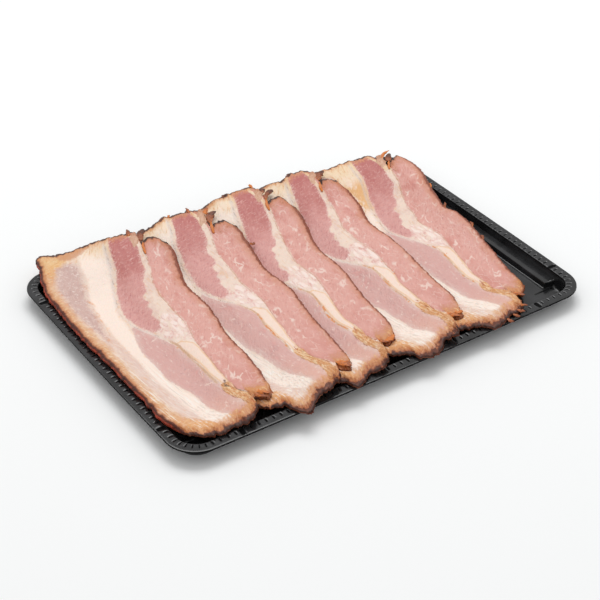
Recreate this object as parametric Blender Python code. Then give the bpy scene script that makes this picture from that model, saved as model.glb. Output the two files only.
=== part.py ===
"""Sliced smoked bacon in a shallow black tray: five shingled slices on a thermoformed plate.

The tray is one thin shell with a flat flange, a stepped wall at each short side and a shallow
foot at each corner. Each slice is one solid: it lies on the tray with its left part, climbs over
the left edge of the next slice with its right part, and drapes over the rims at both ends.
"""

import math

import bmesh
import bpy

MM = 0.001

# Tray, a rounded rectangle that is long along X.
TRAY_LENGTH = 240 * MM
TRAY_WIDTH = 169.2 * MM
TRAY_CORNER = 16 * MM
SIDE_BOW = 0.45 * MM
SHEET = 0.5 * MM
FLANGE_TOP = 8.1 * MM
FLANGE_WIDTH = 5.8 * MM
LIP_DROP = 0.8 * MM
LEDGE_TOP = 4.1 * MM
LEDGE_WIDTH = 5.8 * MM
LEDGE_END = 64.5 * MM
FLOOR_TOP = 1.1 * MM
FOOT_TOP = 0.5 * MM
FOOT_X = 100 * MM
FOOT_Y = 66.5 * MM
WALL_DRAFT = 0.7 * MM
FOOT_STEP = 0.3 * MM
CORNER_STEPS = 6

# Slices, and how they rest.
SLICE_THICKNESS = 2.8 * MM
GAP = 0.55 * MM
RIM_DRAPE = 32 * MM
SIDE_DRAPE = 18 * MM
CLIMB = 16 * MM
EDGE_DROOP = 0.6 * MM
CELLS_ACROSS = 18
NEAR_ROWS = 5
MIDDLE_ROWS = 8
FAR_ROWS = 6
NEAR_ZONE = -50
FAR_ZONE = 56

# Each slice's plan, in millimetres from the tray's centre. left and right give x at a station y.
# near and far give y at a share of the width, from the rind at the left to the lobe at the right.
SLICES = [
    {
        "left": [(-66, -113.2), (-50, -114.4), (0, -115.6), (28, -116), (60, -114.2), (72, -111.8),
                 (82, -108.6), (94, -102)],
        "right": [(-62, -61.2), (-50, -57), (-25, -54.5), (0, -51), (12, -49), (30, -49), (50, -43.2),
                  (62, -41), (74, -41), (88, -35.5)],
        "near": [(0, -64), (0.04, -70), (0.1, -74.5), (0.18, -78), (0.28, -80), (0.68, -77.5),
                 (0.8, -66), (0.9, -66.5), (1, -60)],
        "far": [(0, 82), (0.03, 89), (0.11, 93.5), (0.27, 91), (0.4, 90.5), (0.58, 87), (0.76, 86.5),
                (0.84, 80), (0.87, 73.5), (0.95, 75.3), (1, 69)],
    },
    {
        "left": [(-80, -76), (0, -71), (80, -66)],
        "right": [(-60, -16.3), (-50, -13.6), (-30, -11.5), (-10, -8.5), (10, -7), (28, -6.8), (50, -1.8),
                  (66, -2), (88, 5)],
        "near": [(0, -70), (0.1, -74), (0.22, -76.5), (0.38, -87), (0.45, -86), (0.52, -80), (0.75, -79),
                 (0.84, -68), (0.92, -73), (1, -63)],
        "far": [(0, 82), (0.3, 86), (0.4, 88), (0.75, 87.5), (0.82, 84.5), (0.86, 79), (0.875, 68.5),
                (0.93, 70.5), (1, 64)],
    },
    {
        "left": [(-80, -41), (0, -38), (80, -33)],
        "right": [(-60, 13.5), (-50, 18.3), (-30, 20.1), (-10, 24), (5, 26.6), (22, 26.8), (40, 32.2),
                  (60, 36.8), (70, 37), (88, 47)],
        "near": [(0, -74), (0.17, -77), (0.26, -82.5), (0.36, -83), (0.45, -78.5), (0.74, -78), (0.8, -67.5),
                 (0.87, -68), (1, -58)],
        "far": [(0, 84), (0.31, 89), (0.56, 90), (0.74, 88.5), (0.8, 81), (0.82, 69), (0.93, 73), (1, 66)],
    },
    {
        "left": [(-80, -2), (0, 1), (80, 6)],
        "right": [(-60, 53.8), (-50, 58.8), (-30, 60.2), (-10, 63.2), (10, 65), (28, 64.8), (50, 71.7),
                  (66, 71.6), (88, 78)],
        "near": [(0, -72), (0.2, -77), (0.29, -82), (0.48, -84), (0.58, -79), (0.8, -79.5), (0.86, -69.5),
                 (0.9, -70.5), (1, -60)],
        "far": [(0, 84), (0.4, 88.5), (0.58, 87.5), (0.67, 88.5), (0.77, 86), (0.81, 81.5), (0.83, 70),
                (0.88, 73), (1, 62)],
    },
    {
        "left": [(-80, 37), (0, 41), (80, 47)],
        "right": [(-62, 96), (-50, 98.8), (-30, 102.4), (-10, 106), (8, 108.4), (22, 107.6), (40, 113.3),
                  (58, 118.8), (70, 119.6), (88, 124)],
        "near": [(0, -76), (0.16, -78), (0.27, -83), (0.45, -84), (0.6, -80), (0.77, -76), (0.81, -70.5),
                 (0.86, -72.5), (1, -62)],
        "far": [(0, 80), (0.3, 86), (0.5, 86.5), (0.73, 84.5), (0.82, 78), (0.88, 74), (0.96, 75.5), (1, 68)],
    },
]

FAT_PINK = (0.72, 0.42, 0.34, 1)
TRAY_BLACK = (0.012, 0.012, 0.013, 1)


def clear_scene():
    for obj in list(bpy.data.objects):
        bpy.data.objects.remove(obj, do_unlink=True)


def material(name, colour, roughness):
    made = bpy.data.materials.new(name)
    made.use_nodes = True
    shader = made.node_tree.nodes["Principled BSDF"]
    shader.inputs["Base Color"].default_value = colour
    shader.inputs["Roughness"].default_value = roughness
    shader.inputs["Metallic"].default_value = 0
    return made


def object_from(name, points, faces, finish):
    mesh = bpy.data.meshes.new(name)
    mesh.from_pydata(points, [], faces)
    mesh.materials.append(finish)
    body = bmesh.new()
    body.from_mesh(mesh)
    bmesh.ops.recalc_face_normals(body, faces=body.faces)
    body.to_mesh(mesh)
    body.free()
    mesh.shade_smooth()
    mesh.set_sharp_from_angle(angle=math.radians(35))
    made = bpy.data.objects.new(name, mesh)
    bpy.context.scene.collection.objects.link(made)
    return made


def ease(share):
    """Rises from 0 to 1 with no slope at either end."""
    share = min(max(share, 0), 1)
    return share * share * (3 - 2 * share)


def along(stations, place):
    """The value at a place between stations, in straight stretches."""
    (first, value), rest = stations[0], stations[1:]
    if place <= first:
        return value
    for station, next_value in rest:
        if place <= station:
            return value + (next_value - value) * (place - first) / (station - first)
        first, value = station, next_value
    return value


# Tray


def rim_stations():
    """One quarter of the rim, from the middle of the short side to the middle of the long side."""
    side = [("short", y * MM) for y in (0, 22, 44)] + [("short", LEDGE_END), ("foot_short", FOOT_Y)]
    turn = [("arc", math.pi / 2 * step / CORNER_STEPS) for step in range(CORNER_STEPS + 1)]
    end = [("foot_long", FOOT_X), ("long", FOOT_X - 2 * MM)] + [("long", x * MM) for x in (66, 33, 0)]
    return side + turn + end


def rim_point(kind, place, inset):
    """A point of the rounded rectangle at this inset, in the quarter of +X and +Y."""
    half_x = TRAY_LENGTH / 2 - inset
    half_y = TRAY_WIDTH / 2 - inset
    radius = max(TRAY_CORNER - inset, 2 * MM)
    if kind in ("short", "foot_short"):
        return half_x + SIDE_BOW * (1 - (place / (half_y - radius)) ** 2), place
    if kind in ("long", "foot_long"):
        return place, half_y + SIDE_BOW * (1 - (place / (half_x - radius)) ** 2)
    x = half_x - radius + radius * math.cos(place)
    return x, half_y - radius + radius * math.sin(place)


def foot_point(kind, place, offset):
    """A point on the L-shaped inner edge of a corner foot, offset towards the tray's middle."""
    inner_x, inner_y = FOOT_X - offset, FOOT_Y - offset
    wall = FLANGE_WIDTH + WALL_DRAFT + 1.2 * MM
    end_x, end_y = TRAY_LENGTH / 2 - wall, TRAY_WIDTH / 2 - wall
    if kind == "foot_short":
        return end_x, inner_y
    if kind == "foot_long":
        return inner_x, end_y
    share = (place / (math.pi / 2) * CORNER_STEPS + 1) / (CORNER_STEPS + 2)
    if share <= 0.5:
        return end_x + (inner_x - end_x) * share * 2, inner_y
    return inner_x, inner_y + (end_y - inner_y) * (share * 2 - 1)


def ring(kind_values, stations):
    """One loop of the tray, where kind_values gives (inset or foot offset, height) by kind."""
    quarter = []
    for kind, place in stations:
        group = "short" if kind == "short" else "long" if kind == "long" else "foot"
        mode, inset, height = kind_values[group]
        point = foot_point(kind, place, inset) if mode == "edge" else rim_point(kind, place, inset)
        quarter.append((*point, height))
    loop = list(quarter)
    loop += [(-x, y, z) for x, y, z in reversed(quarter[:-1])]
    loop += [(-x, -y, z) for x, y, z in quarter[1:]]
    loop += [(x, -y, z) for x, y, z in reversed(quarter[1:-1])]
    return loop


def same(inset, height):
    return {group: ("rim", inset, height) for group in ("short", "long", "foot")}


def stepped(short, long, foot):
    return {"short": ("rim", *short), "long": ("rim", *long), "foot": ("rim", *foot)}


def footed(short, long, foot):
    return {"short": ("rim", *short), "long": ("rim", *long), "foot": ("edge", *foot)}


def build_tray(finish):
    wall_top = FLANGE_WIDTH + 0.1 * MM
    wall_mid = FLANGE_WIDTH + WALL_DRAFT
    wall_foot = wall_mid + 0.8 * MM
    ledge_in = wall_mid + LEDGE_WIDTH
    ledge_foot = ledge_in + 0.6 * MM
    under = SHEET
    past_step = (wall_mid + 0.1 * MM, LEDGE_TOP - 0.4 * MM)
    upper = [
        same(0, FLANGE_TOP - LIP_DROP),
        same(0.2 * MM, FLANGE_TOP - 0.2 * MM),
        same(0.6 * MM, FLANGE_TOP),
        same(wall_top - 0.4 * MM, FLANGE_TOP),
        same(wall_top, FLANGE_TOP - 0.3 * MM),
        same(wall_mid, LEDGE_TOP),
        stepped((ledge_in, LEDGE_TOP - 0.1 * MM), past_step, past_step),
        stepped((ledge_foot, FLOOR_TOP), (wall_foot, FLOOR_TOP), (wall_foot, FOOT_TOP)),
        footed((ledge_foot + 0.4 * MM, FLOOR_TOP), (wall_foot + 0.5 * MM, FLOOR_TOP), (0, FOOT_TOP)),
        footed((ledge_foot + 0.8 * MM, FLOOR_TOP), (wall_foot + 0.9 * MM, FLOOR_TOP), (FOOT_STEP, FLOOR_TOP)),
    ]
    below_step = (wall_mid - under + 0.1 * MM, LEDGE_TOP - 0.4 * MM - under)
    lower = [
        same(under, FLANGE_TOP - LIP_DROP),
        same(under + 0.2 * MM, FLANGE_TOP - under),
        same(wall_top - under - 0.1 * MM, FLANGE_TOP - under),
        same(wall_mid - under, LEDGE_TOP - under),
        stepped((ledge_in - under, LEDGE_TOP - 0.1 * MM - under), below_step, below_step),
        stepped((ledge_foot - under, FLOOR_TOP - under), (wall_foot - under, FLOOR_TOP - under),
                (wall_foot - under, FOOT_TOP - under)),
        footed((ledge_foot, FLOOR_TOP - under), (wall_foot, FLOOR_TOP - under), (under, FOOT_TOP - under)),
        footed((ledge_foot + 0.4 * MM, FLOOR_TOP - under), (wall_foot + 0.4 * MM, FLOOR_TOP - under),
               (under + FOOT_STEP, FLOOR_TOP - under)),
    ]
    stations = rim_stations()
    loops = [ring(values, stations) for values in reversed(lower)]
    loops += [ring(values, stations) for values in upper]
    count = len(loops[0])
    points = [point for loop in loops for point in loop]
    faces = [list(range(count)), list(range(count * (len(loops) - 1), count * len(loops)))]
    for level in range(len(loops) - 1):
        for k in range(count):
            ahead = (k + 1) % count
            first, second = level * count, (level + 1) * count
            faces.append((first + k, first + ahead, second + ahead, second + k))
    return object_from("tray", points, faces, finish)


# Slices


def rest_height(x, y):
    """Underside of whatever lies lowest: on the floor in the middle, up on the flange at the rims."""
    inner_x = TRAY_LENGTH / 2 - FLANGE_WIDTH
    inner_y = TRAY_WIDTH / 2 - FLANGE_WIDTH
    flat = 1 - ease(1 - (inner_y - abs(y)) / RIM_DRAPE)
    flat *= 1 - ease(1 - (inner_x - abs(x)) / SIDE_DRAPE)
    return FLOOR_TOP + GAP + (FLANGE_TOP - FLOOR_TOP) * (1 - flat)


def underside(number, x, y):
    """Underside of a slice, which climbs over the left edge of every slice after it."""
    height = rest_height(x, y)
    for later in SLICES[number + 1:]:
        edge = along(later["left"], y / MM) * MM
        height += (SLICE_THICKNESS + GAP) * ease(1 - (edge - x) / CLIMB)
    return height


def plan_point(plan, row, across):
    """Plan position of a row and share of the width: rows run straight but fan out at both ends."""
    if row < NEAR_ROWS:
        y = along(plan["near"], across)
        y += (NEAR_ZONE - y) * row / NEAR_ROWS
    elif row > NEAR_ROWS + MIDDLE_ROWS:
        y = along(plan["far"], across)
        y += (FAR_ZONE - y) * (NEAR_ROWS + MIDDLE_ROWS + FAR_ROWS - row) / FAR_ROWS
    else:
        y = NEAR_ZONE + (FAR_ZONE - NEAR_ZONE) * (row - NEAR_ROWS) / MIDDLE_ROWS
    left, right = along(plan["left"], y), along(plan["right"], y)
    return (left + (right - left) * across) * MM, y * MM


def halves(cell, points):
    """A four-sided cell cut along its shorter diagonal, which follows the bend at a notch."""
    a, b, c, d = cell
    if math.dist(points[a], points[c]) <= math.dist(points[b], points[d]):
        return (a, b, c), (a, c, d)
    return (a, b, d), (b, c, d)


def build_slice(number, finish):
    plan = SLICES[number]
    last_row = NEAR_ROWS + MIDDLE_ROWS + FAR_ROWS
    columns = CELLS_ACROSS + 1
    top, bottom = [], []
    for row in range(last_row + 1):
        for column in range(columns):
            x, y = plan_point(plan, row, column / CELLS_ACROSS)
            height = underside(number, x, y)
            at_edge = row in (0, last_row) or column in (0, CELLS_ACROSS)
            bottom.append((x, y, height))
            top.append((x, y, height + SLICE_THICKNESS - (EDGE_DROOP if at_edge else 0)))
    size = (last_row + 1) * columns
    faces = []
    for row in range(last_row):
        for column in range(CELLS_ACROSS):
            corner = row * columns + column
            cell = (corner, corner + 1, corner + columns + 1, corner + columns)
            for face in halves(cell, bottom):
                faces.append(face)
                faces.append(tuple(size + k for k in reversed(face)))
    border = list(range(columns))
    border += [row * columns + CELLS_ACROSS for row in range(1, last_row + 1)]
    border += [last_row * columns + column for column in range(CELLS_ACROSS - 1, -1, -1)]
    border += [row * columns for row in range(last_row - 1, 0, -1)]
    for first, second in zip(border, border[1:] + border[:1]):
        faces.append((first, size + first, size + second, second))
    return object_from(f"slice_{number + 1}", top + bottom, faces, finish)


def centre_on_origin(objects):
    """Moves everything so that the middle of the pack's own box stands on the origin."""
    points = [vertex.co for obj in objects for vertex in obj.data.vertices]
    middle_x = (min(p.x for p in points) + max(p.x for p in points)) / 2
    middle_y = (min(p.y for p in points) + max(p.y for p in points)) / 2
    for obj in objects:
        obj.location = (-middle_x, -middle_y, 0)


clear_scene()
pack = [build_tray(material("tray_plastic", TRAY_BLACK, 0.18))]
for slice_number in range(len(SLICES)):
    pack.append(build_slice(slice_number, material(f"bacon_{slice_number + 1}", FAT_PINK, 0.4)))
centre_on_origin(pack)
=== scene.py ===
import math

import bmesh
import bpy
import numpy as np
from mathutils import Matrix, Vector


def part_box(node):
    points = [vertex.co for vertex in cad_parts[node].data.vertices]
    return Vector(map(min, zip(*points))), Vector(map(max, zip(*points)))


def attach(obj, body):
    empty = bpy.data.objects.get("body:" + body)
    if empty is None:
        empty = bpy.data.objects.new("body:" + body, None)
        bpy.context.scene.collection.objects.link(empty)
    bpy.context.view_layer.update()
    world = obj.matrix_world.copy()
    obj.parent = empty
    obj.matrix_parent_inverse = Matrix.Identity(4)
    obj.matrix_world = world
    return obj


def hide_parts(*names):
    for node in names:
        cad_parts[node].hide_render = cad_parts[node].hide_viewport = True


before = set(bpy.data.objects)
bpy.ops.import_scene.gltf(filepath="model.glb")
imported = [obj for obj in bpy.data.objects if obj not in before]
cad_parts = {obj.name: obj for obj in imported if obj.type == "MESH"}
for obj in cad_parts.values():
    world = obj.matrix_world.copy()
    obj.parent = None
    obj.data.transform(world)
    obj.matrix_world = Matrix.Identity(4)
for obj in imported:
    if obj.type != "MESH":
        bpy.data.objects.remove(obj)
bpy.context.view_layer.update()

# The tray: one sheet of glossy black plastic, heated and drawn over a mould. Its flange is pressed
# with short ribs all round and ends in a lip that turns down. The short sides go down in two steps
# with a ledge between, the long sides in one, and each corner is pressed a little deeper as a foot.

MM = 0.001
tray_low, tray_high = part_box("tray")
CENTRE_X = (tray_low.x + tray_high.x) / 2 / MM
CENTRE_Y = (tray_low.y + tray_high.y) / 2 / MM
SIDE_BOW = 0.45
HALF_LENGTH = (tray_high.x - tray_low.x) / 2 / MM - SIDE_BOW
HALF_WIDTH = (tray_high.y - tray_low.y) / 2 / MM - SIDE_BOW
CORNER_RADIUS = 16
FLANGE_TOP = tray_high.z / MM
FLANGE_WIDTH = 5.8
LIP_DROP = 0.8
LEDGE_TOP = 4.1
LEDGE_WIDTH = 5.8
LEDGE_HALF_LENGTH = 65
FLOOR_TOP = 1.1
FOOT_TOP = 0.5
FOOT_X, FOOT_Y = 100, 66.5
SHEET = 0.5
RIB_COUNT = 196
RIB_DEPTH = 0.5
ROUND_CELLS = RIB_COUNT * 8


def ease(share):
    """Rises from 0 to 1 with no slope at either end."""
    share = np.clip(share, 0, 1)
    return share * share * (3 - 2 * share)


def grid_block(name, across, along):
    """A flat grid with that many cells each way, whose vertices hold their share of each side."""
    bpy.ops.object.select_all(action="DESELECT")
    bpy.ops.mesh.primitive_grid_add(x_subdivisions=across, y_subdivisions=along, size=1, location=(0.5, 0.5, 0))
    block = bpy.context.object
    block.name = block.data.name = name
    bpy.ops.object.transform_apply(location=True, rotation=False, scale=False)
    return block


def read_points(piece):
    points = np.empty(len(piece.data.vertices) * 3, np.float32)
    piece.data.vertices.foreach_get("co", points)
    return points.reshape(-1, 3).astype(float)


def set_points(piece, x, y, z):
    """Puts the vertices at x, y and z, in millimetres from the middle of the tray."""
    points = np.stack([x + CENTRE_X, y + CENTRE_Y, z], 1) * MM
    piece.data.vertices.foreach_set("co", points.astype(np.float32).ravel())
    piece.data.update()


STRAIGHT_X, STRAIGHT_Y = HALF_LENGTH - CORNER_RADIUS, HALF_WIDTH - CORNER_RADIUS
QUARTER = STRAIGHT_X + STRAIGHT_Y + CORNER_RADIUS * math.pi / 2


def rim_place(way, inset):
    """A point on the rounded rectangle at this inset, way millimetres from the middle of a short side."""
    half_x, half_y = HALF_LENGTH - inset, HALF_WIDTH - inset
    radius = np.maximum(CORNER_RADIUS - inset, 2.0)
    angle = np.clip((way - STRAIGHT_Y) / CORNER_RADIUS, 0, math.pi / 2)
    x = half_x - radius + radius * np.cos(angle)
    y = half_y - radius + radius * np.sin(angle)
    on_short = way < STRAIGHT_Y
    on_long = way > QUARTER - STRAIGHT_X
    x = np.where(on_short, half_x + SIDE_BOW * (1 - (way / STRAIGHT_Y) ** 2), x)
    y = np.where(on_short, way * (half_y - radius) / STRAIGHT_Y, y)
    x = np.where(on_long, (QUARTER - way) * (half_x - radius) / STRAIGHT_X, x)
    y = np.where(on_long, half_y + SIDE_BOW * (1 - ((QUARTER - way) / STRAIGHT_X) ** 2), y)
    return x, y


# Rows from the lip to the floor, each (how far in from the rim, how high): first beside a ledge,
# then along a plain wall, then down into a foot.
WALL = FLANGE_WIDTH + 0.7
INNER = WALL + LEDGE_WIDTH
flange_rows = [(0, FLANGE_TOP - LIP_DROP), (0.05, FLANGE_TOP - 0.3), (0.25, FLANGE_TOP - 0.05), (0.7, FLANGE_TOP)]
flange_rows += [(step, FLANGE_TOP) for step in (1.2, 1.8, 2.4, 3.0, 3.6, 4.2, 4.8)]
flange_rows += [(5.3, FLANGE_TOP - 0.02), (5.65, FLANGE_TOP - 0.15), (5.85, FLANGE_TOP - 0.5), (6.1, FLANGE_TOP - 1.6)]
ledge_rows = flange_rows + [
    (WALL + 0.1, LEDGE_TOP), (WALL + 0.7, LEDGE_TOP), (INNER - 0.7, LEDGE_TOP), (INNER - 0.15, LEDGE_TOP),
    (INNER + 0.05, LEDGE_TOP - 0.25), (INNER + 0.6, FLOOR_TOP + 0.1), (INNER + 0.8, FLOOR_TOP),
    (INNER + 1.3, FLOOR_TOP), (INNER + 1.7, FLOOR_TOP),
]
plain_rows = flange_rows + [
    (WALL - 0.05, LEDGE_TOP + 0.5), (WALL, LEDGE_TOP), (WALL + 0.12, 3.4),
    (WALL + 0.25, 2.7), (WALL + 0.4, 2.0), (WALL + 0.65, FLOOR_TOP + 0.3),
    (WALL + 1.1, FLOOR_TOP), (WALL + 1.5, FLOOR_TOP), (WALL + 1.9, FLOOR_TOP),
]
foot_rows = flange_rows + [
    (WALL - 0.05, LEDGE_TOP + 0.5), (WALL, LEDGE_TOP), (WALL + 0.12, 3.3),
    (WALL + 0.25, 2.4), (WALL + 0.4, 1.5), (WALL + 0.65, FOOT_TOP + 0.3),
    (WALL + 1.1, FOOT_TOP), (WALL + 1.5, FOOT_TOP), (WALL + 1.9, FLOOR_TOP),
]

tray = grid_block("tray_shell", ROUND_CELLS, len(plain_rows) - 1)
share = read_points(tray)
row = np.rint(share[:, 1] * (len(plain_rows) - 1)).astype(int)
turn = share[:, 0] * 4
side = np.floor(turn).astype(int) % 4
way = np.where(side % 2 == 0, turn - np.floor(turn), 1 - (turn - np.floor(turn))) * QUARTER
foot_end = QUARTER - FOOT_X
beside_ledge = ease((LEDGE_HALF_LENGTH - way) / 1.0 + 0.5)
in_foot = ease((way - FOOT_Y) / 0.6 + 0.5) * ease((foot_end - way) / 0.6 + 0.5)
plain = 1 - beside_ledge - in_foot
inset, height = sum(
    part[:, None] * np.array(rows)[row] for part, rows in ((beside_ledge, ledge_rows), (plain, plain_rows), (in_foot, foot_rows))
).T
x, y = rim_place(way, inset)

# The last two rows of a foot leave the wall and run along the foot's square inner corner.
along_foot = np.clip((way - FOOT_Y) / (foot_end - FOOT_Y), 0, 1)
edge_x = np.where(along_foot < 0.5, x + (FOOT_X - x) * along_foot * 2, FOOT_X)
edge_y = np.where(along_foot < 0.5, FOOT_Y, FOOT_Y + (y - FOOT_Y) * (along_foot * 2 - 1))
last = len(plain_rows) - 1
for level, offset in ((last - 1, 0.0), (last, 0.5)):
    at_edge = (row == level) & (way > FOOT_Y) & (way < foot_end)
    x = np.where(at_edge, edge_x - offset * (along_foot < 0.95), x)
    y = np.where(at_edge, edge_y - offset * (along_foot > 0.05), y)

# The ribs: a narrow groove pressed across the flange at every pitch, and a wider one by each corner.
from_rib = np.abs((share[:, 0] * RIB_COUNT) % 1.0 - 0.5) * 4 * QUARTER / RIB_COUNT
rib = np.exp(-((from_rib / 0.36) ** 2))
rib *= ease((inset - 2.2) / 0.7) * ease((5.3 - inset) / 0.5)
from_notch = np.minimum(np.abs(way - 59.3), np.abs(way - (QUARTER - 87.8)))
notch = np.exp(-((from_notch / 0.9) ** 2)) * ease((inset - 0.8) / 0.7) * ease((5.6 - inset) / 0.5)
height -= RIB_DEPTH * np.maximum(rib, 1.7 * notch)
height += 0.05 * np.sin(share[:, 0] * 331) * np.sin(share[:, 0] * 127 + 1) * ease((inset - 1) / 3) * (row < 12)
x = np.where((side == 1) | (side == 2), -x, x)
y = np.where((side == 2) | (side == 3), -y, y)
set_points(tray, x, y, height)

shell = bmesh.new()
shell.from_mesh(tray.data)
bmesh.ops.remove_doubles(shell, verts=shell.verts, dist=0.01 * MM)
floor_loop = [edge for edge in shell.edges if edge.is_boundary and edge.verts[0].co.z < 2 * MM]
floor_faces = bmesh.ops.contextual_create(shell, geom=floor_loop)["faces"]
for face in floor_faces:
    if face.normal.z < 0:
        face.normal_flip()
shell.to_mesh(tray.data)
shell.free()

wall = tray.modifiers.new("sheet", "SOLIDIFY")
wall.thickness = SHEET * MM
wall.offset = -1
bpy.ops.object.modifier_apply(modifier="sheet")
bpy.ops.object.shade_smooth_by_angle(angle=math.radians(40))


class Wire:
    """An output in a material's node tree, on which sums can be written."""

    def __init__(self, tree, socket):
        self.tree = tree
        self.socket = socket

    def node(self, kind, sources, output=0, **settings):
        made = self.tree.nodes.new(kind)
        for name, value in settings.items():
            setattr(made, name, value)
        for key, value in sources.items():
            if isinstance(value, Wire):
                self.tree.links.new(value.socket, made.inputs[key])
            else:
                made.inputs[key].default_value = value
        return Wire(self.tree, made.outputs[output])

    def sum(self, operation, other):
        return self.node("ShaderNodeMath", {0: self, 1: other}, operation=operation)

    def __add__(self, other):
        return self.sum("ADD", other)

    def __sub__(self, other):
        return self.sum("SUBTRACT", other)

    def __mul__(self, other):
        return self.sum("MULTIPLY", other)

    __radd__ = __add__
    __rmul__ = __mul__

    def rising(self, low, high):
        """0 below low and 1 above high, eased between. With high below low it falls instead."""
        sources = {"Value": self, "From Min": low, "From Max": high, "To Min": 0.0, "To Max": 1.0}
        return self.node("ShaderNodeMapRange", sources, interpolation_type="SMOOTHSTEP")

    def over(self, colour, mask):
        """This colour with another laid over it through a mask."""
        made = self.tree.nodes.new("ShaderNodeMix")
        made.data_type = "RGBA"
        for index, value in ((0, mask), (6, self), (7, colour)):
            if isinstance(value, Wire):
                self.tree.links.new(value.socket, made.inputs[index])
            else:
                made.inputs[index].default_value = value
        return Wire(self.tree, made.outputs[2])


def swatch(red, green, blue):
    """Linear colour of a swatch given from 0 to 255."""
    linear = [(c / 255 / 12.92) if c < 10 else ((c / 255 + 0.055) / 1.055) ** 2.4 for c in (red, green, blue)]
    return (*linear, 1.0)


def new_finish(name):
    """A material with its shader and a wire to start from."""
    finish = bpy.data.materials.new(name)
    finish.use_nodes = True
    shader = finish.node_tree.nodes["Principled BSDF"]
    return finish, shader, Wire(finish.node_tree, None)


def noise(wire, place, scale, detail=2.0, roughness=0.5):
    """Noise about 0 on a place, with features of about 1 / scale."""
    sources = {"Vector": place, "Scale": scale, "Detail": detail, "Roughness": roughness}
    return wire.node("ShaderNodeTexNoise", sources) - 0.5


black_plastic, shader, wire = new_finish("black_tray_plastic")
place = wire.node("ShaderNodeTexCoord", {}, output="Object")
haze = noise(wire, place, 90.0, 3.0)
scuff = noise(wire, place, 700.0, 2.0)
black = wire.node("ShaderNodeRGB", {})
black.socket.default_value = swatch(28, 28, 29)
tone = black.over(swatch(44, 44, 46), haze.rising(-0.15, 0.25))
level = wire.node("ShaderNodeSeparateXYZ", {"Vector": place}, output="Z") * 1000.0
# The rib grooves on the flange, picked out by height, are painted near black, a painted shade, and also given less
# shine and more roughness.
groove = level.rising(8.04, 7.8) * level.rising(6.9, 7.3)
tone = tone.over(swatch(14, 14, 15), groove)
black_plastic.node_tree.links.new(tone.socket, shader.inputs["Base Color"])
dull = groove * -0.45 + 0.5
black_plastic.node_tree.links.new(dull.socket, shader.inputs["Specular IOR Level"])
gloss = haze * 0.12 + scuff * 0.08 + groove * 0.3 + 0.16
black_plastic.node_tree.links.new(gloss.socket, shader.inputs["Roughness"])
ripple = wire.node("ShaderNodeBump", {"Height": haze * 1.0 + scuff * 0.05, "Distance": 0.0004, "Strength": 0.25})
black_plastic.node_tree.links.new(ripple.socket, shader.inputs["Normal"])
shader.inputs["IOR"].default_value = 1.5
tray.data.materials.append(black_plastic)
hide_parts("tray")
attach(tray, "root")

# The bacon: five slices of smoked pork belly, cut one after another, so they share one pattern of
# muscle and fat. Each is laid with its lobe over the next slice, and its ends hang over the rim.

THICKNESS = 3.0
GAP = 0.3
PITCH = THICKNESS + GAP
RIM_DRAPE = 32
SIDE_DRAPE = 22
CLIMB = 14
NEAR_LINE, FAR_LINE = -78, 86
CELLS_ACROSS, CELLS_ALONG = 126, 290
CROWDING = 0.4
HIGHEST = 15.2

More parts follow.
